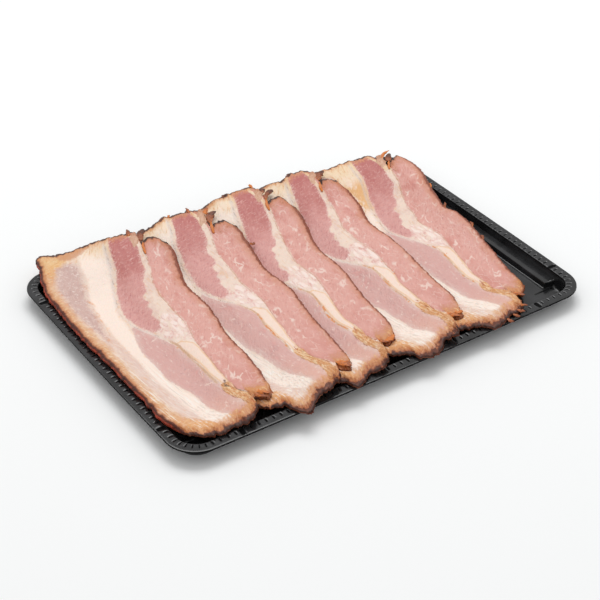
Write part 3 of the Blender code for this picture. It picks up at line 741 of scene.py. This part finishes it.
    # The lower muscle, mauve with small white stars, warmer where it nears the front.
    lower = (field("lower_muscle") + grain * 0.7 + teeth * 0.6).rising(-0.5, 0.6)
    dusk = flat(wire, 218, 169, 161).over(swatch(198, 146, 142), (cloud + blotch * 0.4).rising(0.0, 0.8) * 0.9)
    dusk = dusk.over(swatch(229, 180, 163), (b.rising(-40.0, -72.0) + cloud * 0.2) * 0.85)
    dusk = dusk.over(swatch(232, 200, 191), (grain + blotch * 0.5).rising(0.1, 0.9) * 0.7)
    sheer = field("lower_muscle").rising(4.0, 0.0) * (cloud + grain * 0.6).rising(-0.6, 0.3)
    dusk = dusk.over(swatch(228, 204, 194), sheer * 0.6)
    dusk = dusk.over(swatch(184, 128, 126), (cross + fine * 0.3 + blotch * 0.5).rising(-0.2, -1.0) * 0.5)
    dusk = dusk.over(swatch(224, 158, 150), (cloud - blotch * 0.6).rising(0.2, 0.9) * 0.6)
    dusk = dusk.over(swatch(168, 134, 134), (blotch + cloud * 0.5 + speck * 0.2).rising(-0.6, -1.1) * b.rising(-60.0, -30.0) * 0.7)
    star = clefts(wire, cut, 80, 3.0, 6.5, seed=seed + 17)
    dusk = dusk.over(VEIN, star.rising(0.1, 0.02) * (blotch + cloud * 0.6).rising(0.2, 0.6) * 0.9)
    dusk = dusk.over(swatch(232, 204, 196), (streaks(wire, cut, 85, 1.0, 6.0, seed=seed + 27) + cloud * 0.4).rising(0.4, 0.9) * 0.7)
    colour = colour.over(dusk, lower)

    # The lobe, pink with strands of marbling.
    lobe = (field("lobe") + teeth * 0.5 + speck * 0.2).rising(-0.3, 0.35)
    pink = flat(wire, 224, 165, 153).over(swatch(210, 138, 126), (cloud + b.rising(10.0, 75.0) * 0.5).rising(0.05, 1.0))
    pink = pink.over(swatch(202, 130, 121), (blotch + cloud * 0.5).rising(0.2, 0.9) * 0.6)
    pink = pink.over(swatch(236, 192, 179), (fine + blotch * 0.4).rising(0.1, 0.8) * 0.65)
    pink = pink.over(swatch(190, 116, 106), (fine + cross * 0.4 + blotch * 0.2).rising(-0.1, -0.8) * 0.55)
    pink = pink.over(swatch(150, 78, 70), (speck + cross * 0.4).rising(1.0, 1.25) * 0.6)
    pink = pink.over(swatch(212, 144, 132), b.rising(-20.0, -50.0) * (cloud + fine * 0.3).rising(-0.5, 0.3) * 0.7)
    strand = clefts(wire, cut, 64, 4.0, 7.5, seed=seed + 19)
    patch = streaks(wire, cut, 75, 7.0, 10.0, detail=1.0, seed=seed + 21) + blotch * 0.3
    pink = pink.over(VEIN, strand.rising(0.13, 0.03) * patch.rising(0.1, 0.5) * 0.95)
    pink = pink.over(VEIN, (patch - strand * 1.2).rising(0.75, 1.1) * 0.8)
    pink = pink.over(swatch(236, 198, 186), star.rising(0.06, 0.01) * patch.rising(0.1, -0.4) * 0.7)
    colour = colour.over(pink, lobe)

    # The marbled join and the cream strip between the muscles and the lobe.
    join = (field("join") + blotch * 1.2).rising(-0.8, 1.0)
    lumps = clefts(wire, cut, 84, 3.6, 8.0, seed=seed + 23)
    mixed = streaks(wire, cut, 70, 3.4, 7.0, detail=2.0, seed=seed + 37)
    colour = colour.over(swatch(241, 212, 202), join * (cloud + blotch).rising(-0.6, 0.3) * 0.9)
    colour = colour.over(swatch(222, 166, 155), join * (mixed + fine * 0.3).rising(0.25, 0.7) * 0.85)
    whole = (lumps - mixed * 0.2 + fine * 0.04 + blotch * 0.06).rising(0.12, 0.24)
    colour = colour.over(swatch(250, 230, 220), join * whole * 0.85)
    cleft = (lumps + fine * 0.04).rising(0.08, 0.0) * (blotch + mixed * 0.5).rising(-0.2, 0.4)
    colour = colour.over(swatch(218, 160, 149), join * cleft * 0.7)
    cream = (field("cream_strip") + speck * 0.3 + grain * 0.3).rising(-0.3, 0.4)
    colour = colour.over(swatch(248, 222, 206), cream)
    colour = colour.over(swatch(236, 190, 142), cream * (field("cream_strip") + grain * 0.5).rising(1.3, 0.2) * 0.8)

    # Skins between the muscles: a grey one with dark dots, and a tan one along the lobe.
    shade = (field("skin_line") + grain * 0.4 + blotch * 0.3).rising(2.0, 0.3) * b.rising(20.0, 40.0)
    colour = colour.over(swatch(216, 204, 198), shade * white * 0.6)
    skin = (field("skin_line") + speck * 0.25 + grain * 0.2).rising(0.8, 0.35) * b.rising(30.0, 18.0)
    colour = colour.over(swatch(238, 218, 207), skin * 0.8)
    inner = (field("skin_line") + speck * 0.3).rising(0.5, 0.15) * (grain + cloud * 0.5).rising(-0.2, 0.4)
    colour = colour.over(swatch(170, 144, 132), inner * b.rising(-6.0, 6.0) * 0.55)
    tan_skin = (field("skin_line") + speck * 0.2 + grain * 0.25).rising(0.9, 0.35) * b.rising(4.0, -6.0)
    colour = colour.over(swatch(206, 160, 122), tan_skin * (grain + blotch * 0.5).rising(-0.7, 0.2) * 0.85)
    if number:
        wisp = tan_skin * (wisps + blotch * 0.8 + cloud * 0.4).rising(0.0, 0.4)
        colour = colour.over(swatch(226, 134, 62), wisp * 0.85)
    dots = (field("skin_line") + speck * 0.2).rising(0.8, 0.4) * (speck + blotch * 0.7).rising(0.55, 0.85)
    colour = colour.over(swatch(84, 60, 54), dots * b.rising(-12.0, 8.0) * b.rising(54.0, 40.0) * 0.9)
    seam = (field("seam_line") + speck * 0.2).rising(0.55, 0.15)
    colour = colour.over(swatch(200, 144, 118), seam * (grain + blotch * 0.4).rising(-0.6, 0.3) * 0.8)
    between = field("seam_line").sum("MINIMUM", field("skin_line") + b.rising(5.0, -5.0) * -1.0)
    orange_spots = (between + blotch * 1.2).rising(3.4, 1.2)
    spotted = (speck * 0.4 + blotch * 0.9 + cloud * 0.3).rising(0.4, 0.75) * b.rising(30.0, -20.0)
    colour = colour.over(ORANGE, orange_spots * spotted * (0.55 if number == 0 else 0.9))

    # The folded strip of amber fat by the lobe's tip, creased along its length, and the crack beside it. Its crease
    # ridges are painted lighter, a painted highlight, and its crease hollows are painted darker brown, a painted shade.
    strip = (field("fat_strip") + speck * 0.35 + grain * 0.3).rising(2.9, 2.3)
    crease = streaks(wire, cut, 96, 0.9, 7.0, seed=seed + 29)
    amber = flat(wire, 226, 164, 112).over(swatch(250, 214, 172), (crease + blotch * 0.3).rising(-0.1, 0.4))
    amber = amber.over(swatch(176, 100, 50), (crease + blotch * 0.4).rising(-0.3, -0.7) * 0.9)
    amber = amber.over(swatch(236, 196, 176), (cloud + blotch * 0.5).rising(0.2, 0.7) * 0.5)
    colour = colour.over(amber, strip)
    beside = (field("fat_strip") + speck * 0.25).rising(3.4, 2.7) * field("fat_strip").rising(2.2, 2.7)
    colour = colour.over(swatch(170, 98, 56), beside * (crease + blotch * 0.7).rising(-0.1, 0.4) * b.rising(-47.0, -53.0) * 0.85)
    crack = (field("crack") + speck * 0.3 + blotch * 0.25).rising(0.8, 0.3)
    crack_tone = swatch(98, 50, 26) if number == 0 else swatch(188, 108, 58)
    colour = colour.over(crack_tone, crack * (grain + blotch * 0.5 + 0.35).rising(0.0, 0.5) * 0.9)

    # Browning from the smoke: margins of the lobe, both ends, then crust and rind.
    edge_noise = fine * 0.7 + blotch * 0.9 + cloud * 0.9
    upper_side = b.rising(10.0, 45.0)
    lobe_margin = lobe * (from_right * -1.0 + 4.6 + upper_side * 1.6 + edge_noise * 1.8).rising(-1.5, 5.0)
    colour = colour.over(swatch(206, 136, 102), lobe_margin * 0.72)
    inner_margin = lobe * (from_right * -1.0 + 1.6 + upper_side * 1.2 + edge_noise * 0.9).rising(-0.6, 2.0)
    colour = colour.over(swatch(168, 92, 60), inner_margin * 0.85)
    lobe_end = (from_near * -1.0 + 17.0 + edge_noise * 3.0 + fine * 2.0).rising(-1.0, 12.0) * lobe
    colour = colour.over(swatch(204, 140, 104), lobe_end * 0.92)
    colour = colour.over(swatch(226, 172, 140), lobe_end * fine.rising(0.15, 0.7) * 0.6)
    lobe_tip = (from_near * -1.0 + 3.0 + edge_noise * 1.8).rising(-0.6, 3.0) * lobe
    colour = colour.over(swatch(182, 98, 50), lobe_tip * 0.85)
    lobe_top = lobe * (from_far * -1.0 + 10.0 + edge_noise * 3.0).rising(-1.0, 9.0)
    colour = colour.over(swatch(194, 118, 84), lobe_top * 0.9)
    red_line = (from_right * -1.0 + 1.0 + upper_side * 0.6 + fine * 0.4 + blotch * 0.7).rising(-0.4, 0.6)
    colour = colour.over(swatch(132, 62, 36), red_line * 0.9)
    colour = colour.over(CHAR, (from_right * -1.0 + 0.1 + blotch * 0.6 + cloud * 0.4).rising(0.0, 0.5) * 0.75)

    past_rim = b.rising(-72.0, -88.0)
    front_corner = from_right.rising(34.0, 12.0) * (4.0 if number == 0 else 1.0)
    browning = from_near * -1.0 + 7.2 + edge_noise * 2.8 + grain * 2.4 + past_rim * 7.0 + front_corner
    near_browned = browning.rising(-1.5, 4.5)
    colour = colour.over(swatch(214, 146, 90), near_browned * (grain + cloud).rising(-1.4, 0.2) * 0.9)
    colour = colour.over(swatch(246, 208, 160), near_browned * (grain + slant * 0.6).rising(0.1, 0.6) * 0.6)
    colour = colour.over(swatch(190, 98, 48), near_browned * (grain + blotch * 0.8).rising(-0.1, -0.7) * 0.85)
    near_smoked = (from_near * -1.0 + 3.2 + edge_noise * 2.6 + grain + past_rim * 2.5).rising(-0.8, 2.4)
    colour = colour.over(swatch(166, 88, 46), near_smoked * 0.88)
    open_edge = lobe * -0.8 + 1.0
    crust = (from_near * -1.0 + 1.9 + blotch * 2.8 + cloud * 1.8 + speck * 0.8 + past_rim * 1.4).rising(-0.1, 0.8)
    colour = colour.over(CRUST, crust * open_edge * 0.92)
    far_browned = (from_far * -1.0 + 6.5 + edge_noise * 2.4 + slant * 2.0).rising(-1.5, 6.0) * (lobe * -0.7 + 1.0)
    colour = colour.over(swatch(216, 148, 92), far_browned * 0.88)
    colour = colour.over(swatch(196, 112, 60), far_browned * (slant + blotch * 0.6).rising(-0.2, -0.8) * 0.7)
    far_smoked = (from_far * -1.0 + 2.8 + edge_noise * 1.8 + slant).rising(-0.6, 2.2)
    colour = colour.over(swatch(142, 78, 46), far_smoked * 0.85)
    colour = colour.over(swatch(128, 58, 42), lobe_top * (speck + blotch * 0.4).rising(0.3, 0.7) * 0.8)
    top_line = lobe * (from_far * -1.0 + 2.6 + edge_noise * 1.1).rising(-0.4, 1.4)
    colour = colour.over(swatch(84, 42, 30), top_line * 0.92)
    rind_inner = (from_left * -1.0 + 3.2 + edge_noise * 0.9 + diagonal * 0.7).rising(-0.4, 2.2)
    colour = colour.over(swatch(188, 112, 62), rind_inner * 0.88)
    rind = (from_left * -1.0 + 1.35 + edge_noise * 0.5 + grain * 0.3).rising(-0.3, 0.7)
    colour = colour.over(RIND, rind * 0.97)
    dark = (from_near * -1.0 + 1.2 + blotch * 1.6 + cloud * 1.1 + speck * 0.4).rising(-0.1, 0.5) * open_edge
    dark = dark.sum("MAXIMUM", (from_far * -1.0 + 1.9 + blotch * 1.3 + cloud * 2.2 + speck * 0.4).rising(-0.2, 0.5))
    dark = dark.sum("MAXIMUM", (from_left * -1.0 + 0.3 + blotch * 0.9 + cloud * 1.0).rising(-0.5, 0.9) * 0.8)
    colour = colour.over(CHAR, dark * (speck * 0.3 + 0.85))
    face = (from_left * -1.0 + 0.3).rising(0.05, 0.3) * (blotch * 0.6 + cloud * 0.6).rising(0.6, -0.3)
    colour = colour.over(RIND_FACE, face * 0.85)
    front = (from_near * -1.0 + 0.25).rising(0.05, 0.25) * (blotch + cloud * 0.4).rising(0.7, -0.1)
    colour = colour.over(swatch(124, 62, 40), front * 0.8)

    tree.links.new(colour.socket, shader.inputs["Base Color"])
    wet = blotch * 0.06 + speck * 0.05 + (upper + lower + lobe) * -0.07 + strip * -0.16 + 0.5
    tree.links.new(wet.socket, shader.inputs["Roughness"])
    bumps = fine * 0.5 + speck * 0.35 + teeth * 0.4 + crease * strip * 1.6 + speck * rind * 1.5
    bump = wire.node("ShaderNodeBump", {"Height": bumps, "Distance": 0.0004, "Strength": 0.55})
    tree.links.new(bump.socket, shader.inputs["Normal"])
    shader.inputs["IOR"].default_value = 1.42
    shader.inputs["Subsurface Weight"].default_value = 0.05
    shader.inputs["Subsurface Radius"].default_value = (1.0, 0.45, 0.3)
    shader.inputs["Subsurface Scale"].default_value = 0.0006
    return finish


# Torn bits at the ends of a slice: flaps, slivers of orange fat and charred tips beside the crack
# at the far end, folded strands of amber fat and browned shreds by the lobe's tip. Each is
# (path of (across, along, height above the slice's underside), width, thickness, browning at its
# root, browning at its tip), in millimetres, where the first slice would show it.
TORN = [
    [
        ([(-57.6, 69, 2.2), (-56, 74.5, 2.5), (-53.6, 79.5, 2.4), (-51.4, 83.4, 2.2)], 5.4, 1.4, 0.0, 0.28),
        ([(-55.2, 64, 3.2), (-54.0, 68.5, 3.2), (-52.4, 72.0, 3.3)], 1.7, 1.0, 0.42, 0.46),
        ([(-52.8, 73.5, 2.6), (-50.6, 77.5, 3.0), (-48.2, 80.4, 3.0), (-46.2, 82.6, 2.6)], 4.4, 1.1, 0.6, 0.95),
        ([(-56.4, 80, 2.6), (-55, 83, 2.8), (-53.8, 87.0, 2.7)], 2.6, 1.1, 0.5, 0.75),
        ([(-69.0, -62, 2.6), (-66.6, -67, 2.3), (-63.8, -70.8, 1.9)], 3.8, 1.2, 0.42, 0.6),
        ([(-70.8, -65, 2.4), (-69.4, -69, 2.1), (-66.8, -72, 1.7)], 3.0, 1.1, 0.5, 0.7),
        ([(-56.2, -30, 2.4), (-55.2, -32, 2.3), (-54.0, -33, 2.0)], 2.0, 0.9, 0.6, 0.9),
    ],
    [
        ([(-56.8, 68, 2.2), (-55, 74, 2.6), (-52.2, 79.5, 2.5), (-50.2, 83.4, 2.3)], 5.6, 1.4, 0.0, 0.28),
        ([(-54.6, 62, 3.2), (-53, 66.5, 3.2), (-51, 70.2, 3.2)], 1.8, 1.0, 0.4, 0.46),
        ([(-51, 76.5, 2.8), (-49, 79.4, 3.0), (-46.4, 81.6, 2.9)], 3.2, 1.3, 0.45, 0.6),
        ([(-52.4, 70, 2.4), (-50, 73.4, 2.7), (-46.6, 75.6, 2.6), (-44.2, 76.2, 2.3)], 4.8, 1.1, 0.55, 0.9),
        ([(-57.6, 82, 2.6), (-56.4, 85.2, 2.8), (-55.6, 88.2, 2.6)], 2.2, 1.0, 0.5, 0.7),
        ([(-74.0, 85.4, 1.6), (-71.4, 86.8, 1.8), (-68.6, 87.4, 1.7)], 2.0, 1.0, 0.72, 0.9),
        ([(-68.4, 85, 2.3), (-67.6, 86.2, 2.4), (-66.4, 87.2, 2.2)], 1.4, 0.9, 0.4, 0.45),
        ([(-69.2, -67, 2.6), (-67.4, -71.5, 2.3), (-65.8, -75.2, 1.8)], 5.2, 1.4, 0.42, 0.64),
        ([(-44.8, 46, 2.3), (-43.6, 44.4, 2.3), (-42.6, 45.6, 2.0)], 2.2, 0.9, 0.55, 0.75),
    ],
    [
        ([(-57.4, 70, 2.2), (-55.6, 75.5, 2.6), (-53, 80.5, 2.5), (-50.6, 84, 2.3)], 5.4, 1.4, 0.02, 0.3),
        ([(-56, 64, 3.2), (-54.6, 68.6, 3.2), (-52.8, 72.4, 3.2)], 1.8, 1.0, 0.4, 0.46),
        ([(-52.6, 77.6, 2.6), (-50.4, 79.8, 2.8), (-48.0, 81.4, 2.6)], 3.2, 1.2, 0.6, 0.9),
        ([(-53.2, 72.6, 2.4), (-50.6, 75.6, 2.7), (-47, 77.4, 2.6), (-44.8, 78.4, 2.3)], 4.4, 1.1, 0.55, 0.9),
        ([(-52.8, 85.6, 2.6), (-52.2, 88.2, 2.8), (-51.4, 90.0, 2.6)], 1.8, 0.9, 0.38, 0.44),
        ([(-72, 87.2, 1.6), (-69.0, 88.6, 1.8), (-65.6, 89.0, 1.7)], 1.9, 1.0, 0.72, 0.9),
        ([(-71.8, -61, 2.5), (-71.2, -65.5, 2.3), (-69.0, -68.6, 2.0)], 3.2, 1.2, 0.5, 0.6),
        ([(-70.6, -66.6, 2.2), (-66.2, -66.0, 2.1), (-62.2, -62.8, 2.0)], 3.2, 1.2, 0.38, 0.48),
    ],
    [
        ([(-57.8, 69, 2.2), (-56, 74.5, 2.6), (-53, 79, 2.5), (-50.4, 82.4, 2.3)], 5.4, 1.4, 0.0, 0.28),
        ([(-56.4, 64, 3.2), (-55, 68.2, 3.2), (-53.4, 71.2, 3.2)], 1.9, 1.0, 0.4, 0.46),
        ([(-53.4, 73, 2.4), (-50.6, 76.4, 2.7), (-47.6, 78.4, 2.7), (-45.2, 79.4, 2.4)], 4.6, 1.1, 0.55, 0.92),
        ([(-66, 85.8, 1.6), (-63.4, 87.2, 1.8), (-60.8, 87.6, 1.7)], 2.0, 1.0, 0.72, 0.9),
        ([(-71.8, -64, 2.5), (-70.4, -68.6, 2.2), (-67.6, -71.2, 1.9)], 4.2, 1.3, 0.45, 0.6),
        ([(-68.4, -66.6, 2.4), (-66, -68.6, 2.1), (-63.6, -66.6, 2.0)], 3.0, 1.1, 0.42, 0.55),
    ],
    [
        ([(-58.2, 67, 2.2), (-55.4, 73, 2.7), (-51.4, 77.4, 2.9), (-46.6, 80.2, 2.8)], 5.2, 1.4, 0.05, 0.28),
        ([(-52.6, 75, 3.0), (-48.6, 78.4, 3.3), (-45, 79.8, 3.3), (-41.4, 81, 3.1)], 1.8, 0.9, 0.4, 0.5),
        ([(-51.4, 72, 2.6), (-47.4, 75.6, 2.8), (-43.4, 78.6, 2.6)], 3.8, 1.2, 0.58, 0.92),
        ([(-56.6, 65, 3.1), (-54.2, 68.6, 3.2), (-51.2, 71.4, 3.2)], 1.7, 0.9, 0.4, 0.48),
        ([(-80, -78.4, 2.2), (-77.6, -79.6, 2.0), (-75.4, -80.6, 1.7)], 2.2, 0.9, 0.45, 0.7),
        ([(-80.2, -75.0, 2.2), (-77.4, -76.0, 2.1), (-75.2, -76.0, 1.8)], 2.4, 0.9, 0.42, 0.7),
        ([(-80, -72, 2.3), (-77.6, -72.6, 2.2), (-75.8, -73.6, 1.9)], 2.2, 0.9, 0.4, 0.66),
        ([(-83, -81, 2.1), (-81.4, -83, 1.9), (-79.8, -83.8, 1.6)], 2.4, 0.9, 0.5, 0.8),
        ([(-87, -82.6, 1.9), (-86, -84.8, 1.7), (-84.6, -86, 1.5)], 2.2, 0.9, 0.5, 0.8),
        ([(-92, -84, 1.9), (-91.4, -86.4, 1.7), (-90.2, -87.6, 1.5)], 2.4, 0.9, 0.5, 0.85),
        ([(-72.2, -66.4, 2.3), (-71.2, -70, 2.0), (-69.4, -72.2, 1.7)], 2.8, 1.0, 0.45, 0.7),
        ([(-48.4, 36, 2.2), (-47.2, 38.4, 2.3), (-46.6, 40.6, 2.0)], 1.3, 0.8, 0.38, 0.5),
        ([(-50, 16.5, 2.3), (-48.4, 18.4, 2.5), (-47.4, 20.6, 2.2)], 1.8, 0.9, 0.55, 0.75),
        ([(-53, -7, 2.3), (-51.6, -5, 2.4), (-50.8, -2.4, 2.1)], 1.8, 0.9, 0.5, 0.72),
        ([(-54.8, -19, 2.2), (-53.6, -17, 2.3), (-53.2, -14.6, 2.0)], 1.8, 0.9, 0.55, 0.8),
    ],
]


def torn_bit(number, label, path, width, thickness, root, tip, seed):
    """A flattened, tapered strand along a path, closed at both ends."""
    strand = grid_block(label, 12, 16)
    cell = read_points(strand)
    turn, t = cell[:, 0] * 2 * math.pi, cell[:, 1]
    spots = np.linspace(0, 1, len(path))
    a, b, lift = (curve_at(list(zip(spots, values)), t) for values in np.array(path, float).T)
    slope_a = curve_at(list(zip(spots, np.gradient([p[0] for p in path]))), t)
    slope_b = curve_at(list(zip(spots, np.gradient([p[1] for p in path]))), t)
    size = np.hypot(slope_a, slope_b)
    taper = np.sin(math.pi * np.clip(t, 0, 1) ** 0.85) ** 0.45 * (1 - 0.3 * t)
    ragged = 0.3 * wander(t * 7 + np.sign(np.cos(turn)) * 40, 1.0, seed) + 0.25 * wander(t * 16 + cell[:, 0] * 8, 1.0, seed + 1)
    taper = taper * (0.95 + ragged) * (np.abs(t - 0.5) < 0.4999)
    side = np.cos(turn) * width / 2 * taper
    rise = np.sin(turn) * thickness / 2 * taper + 0.2 * thickness * np.sin(turn * 3 + t * 11) * taper
    a, b = a + side * slope_b / size, b - side * slope_a / size
    y = b
    x = a - cut_shift(number, y)
    z = np.minimum(underside(number, x, y) + lift * 0.95 + 0.35 * (b > 50) + rise, HIGHEST)
    set_points(strand, x, y, z)
    reach = np.sum(np.hypot(*np.diff(np.array(path)[:, :2], axis=0).T))
    store(strand, {"browning": root + (tip - root) * t, "along": t * reach, "aside": side})
    bpy.ops.object.mode_set(mode="EDIT")
    bpy.ops.mesh.select_all(action="SELECT")
    bpy.ops.mesh.remove_doubles(threshold=0.005 * MM)
    bpy.ops.mesh.normals_make_consistent(inside=False)
    bpy.ops.object.mode_set(mode="OBJECT")
    return strand


torn_finish, shader, wire = new_finish("torn_smoked_fat")
browning = wire.node("ShaderNodeAttribute", {}, output="Fac", attribute_name="browning")
along = wire.node("ShaderNodeAttribute", {}, output="Fac", attribute_name="along")
aside = wire.node("ShaderNodeAttribute", {}, output="Fac", attribute_name="aside")
place = wire.node("ShaderNodeTexCoord", {}, output="Object")
lay = wire.node("ShaderNodeCombineXYZ", {"X": along * 0.28, "Y": aside * 2.2, "Z": browning * 9.0})
thread = noise(wire, lay, 1.0, 3.0) * 2.8
lump = noise(wire, place, 900.0, 2.0) * 2.8
stage = browning + thread * 0.16 + lump * 0.1
fat = flat(wire, 218, 174, 146)
fat = fat.over(swatch(192, 132, 98), stage.rising(0.05, 0.3))
fat = fat.over(swatch(220, 126, 54), stage.rising(0.3, 0.38))
fat = fat.over(swatch(156, 84, 48), stage.rising(0.48, 0.6))
fat = fat.over(swatch(84, 46, 33), stage.rising(0.66, 0.82))
fat = fat.over(swatch(44, 28, 23), stage.rising(0.86, 1.0))
torn_finish.node_tree.links.new(fat.socket, shader.inputs["Base Color"])
shine = lump * 0.06 + 0.4
torn_finish.node_tree.links.new(shine.socket, shader.inputs["Roughness"])
crumple = wire.node("ShaderNodeBump", {"Height": thread * 0.6 + lump * 0.5, "Distance": 0.0003, "Strength": 0.6})
torn_finish.node_tree.links.new(crumple.socket, shader.inputs["Normal"])
shader.inputs["IOR"].default_value = 1.44

for number in range(len(SLICES)):
    strands = [
        torn_bit(number, f"torn_{number + 1}_{index}", *bit, seed=100 + 20 * number + index)
        for index, bit in enumerate(TORN[number])
    ]
    bpy.ops.object.select_all(action="DESELECT")
    for strand in strands:
        strand.select_set(True)
    bpy.context.view_layer.objects.active = strands[0]
    bpy.ops.object.join()
    shreds = bpy.context.object
    shreds.name = shreds.data.name = f"bacon_{number + 1}_torn_ends"
    bpy.ops.object.shade_smooth()
    shreds.data.materials.append(torn_finish)
    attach(shreds, "root")

    bacon = shape_slice(number)
    bacon.data.materials.append(bacon_finish(number))
    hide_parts(f"slice_{number + 1}")
    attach(bacon, "root")

# The set: a plain white floor, a white surround, and one broad lamp behind and to the right.

FLOOR_SIZE = 6.0
bpy.ops.object.select_all(action="DESELECT")
bpy.ops.mesh.primitive_plane_add(size=FLOOR_SIZE, location=(0, 0, 0))
floor = bpy.context.object
floor.name = "floor"
floor_finish, shader, wire = new_finish("white_floor")
shader.inputs["Base Color"].default_value = (0.965, 0.975, 0.975, 1)
shader.inputs["Roughness"].default_value = 0.9
shader.inputs["Specular IOR Level"].default_value = 0.1
floor.data.materials.append(floor_finish)

surround = bpy.data.worlds.new("surround")
surround.use_nodes = True
surround.node_tree.nodes["Background"].inputs["Color"].default_value = (1, 1, 1, 1)
surround.node_tree.nodes["Background"].inputs["Strength"].default_value = 0.66
bpy.context.scene.world = surround

bpy.ops.object.light_add(type="AREA", location=(0.42, 0.62, 1.5))
lamp = bpy.context.object
lamp.name = "softbox"
lamp.data.shape = "RECTANGLE"
lamp.data.size, lamp.data.size_y = 1.2, 0.9
lamp.data.energy = 12.5
lamp.rotation_euler = (Vector((0, 0, 0)) - lamp.location).to_track_quat("-Z", "Y").to_euler()

bpy.context.scene.view_settings.view_transform = "Standard"

# The camera stands left of the front, looking down a little over a third of a right angle.

bpy.ops.object.camera_add(location=((CENTRE_X - 363.49) * MM, (CENTRE_Y - 535.80) * MM, 453.41 * MM))
camera = bpy.context.object
camera.name = "camera"
target = Vector(((CENTRE_X - 8.84) * MM, (CENTRE_Y - 11.10) * MM, FLANGE_TOP * MM))
camera.rotation_euler = (target - camera.location).to_track_quat("-Z", "Y").to_euler()
camera.data.sensor_width = 36
camera.data.lens = 92.14
camera.data.clip_start = 0.01
bpy.context.scene.camera = camera
